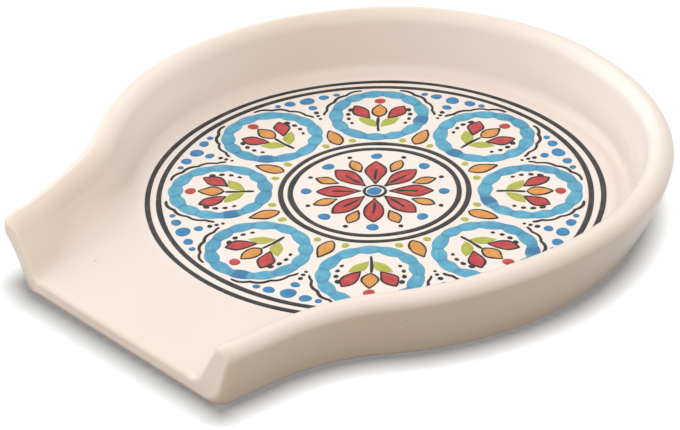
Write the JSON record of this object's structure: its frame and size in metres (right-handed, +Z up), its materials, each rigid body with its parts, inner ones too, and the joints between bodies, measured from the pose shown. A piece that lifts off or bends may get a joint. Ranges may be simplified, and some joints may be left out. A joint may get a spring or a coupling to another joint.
{
  "type": "spoon rest",
  "caption": "Round glazed stoneware spoon rest with a rolled rim, an open spout for the handle and a painted rosette on its floor.",
  "frame": {"origin": "on the surface it stands on, under the middle of its bounding box", "axes": "+Z up, out of the well; the spout points to -Y; X runs across the spout"},
  "size_m": [0.162, 0.178, 0.0227],
  "materials": {
    "ivory_glaze": "soft gloss",
    "black_border_enamel": "gloss",
    "turquoise_enamel": "gloss",
    "blue_enamel": "gloss",
    "red_enamel": "gloss",
    "orange_enamel": "gloss",
    "green_enamel": "gloss",
    "black_line_enamel": "gloss"
  },
  "bodies": {
    "root": {"dish": "ivory_glaze", "ring_lines": "black_border_enamel", "turquoise_roundels": "turquoise_enamel", "blue_dots": "blue_enamel", "red_petals": "red_enamel", "orange_buds": "orange_enamel", "green_leaves": "green_enamel", "black_linework": "black_line_enamel"}
  },
  "joints": []
}
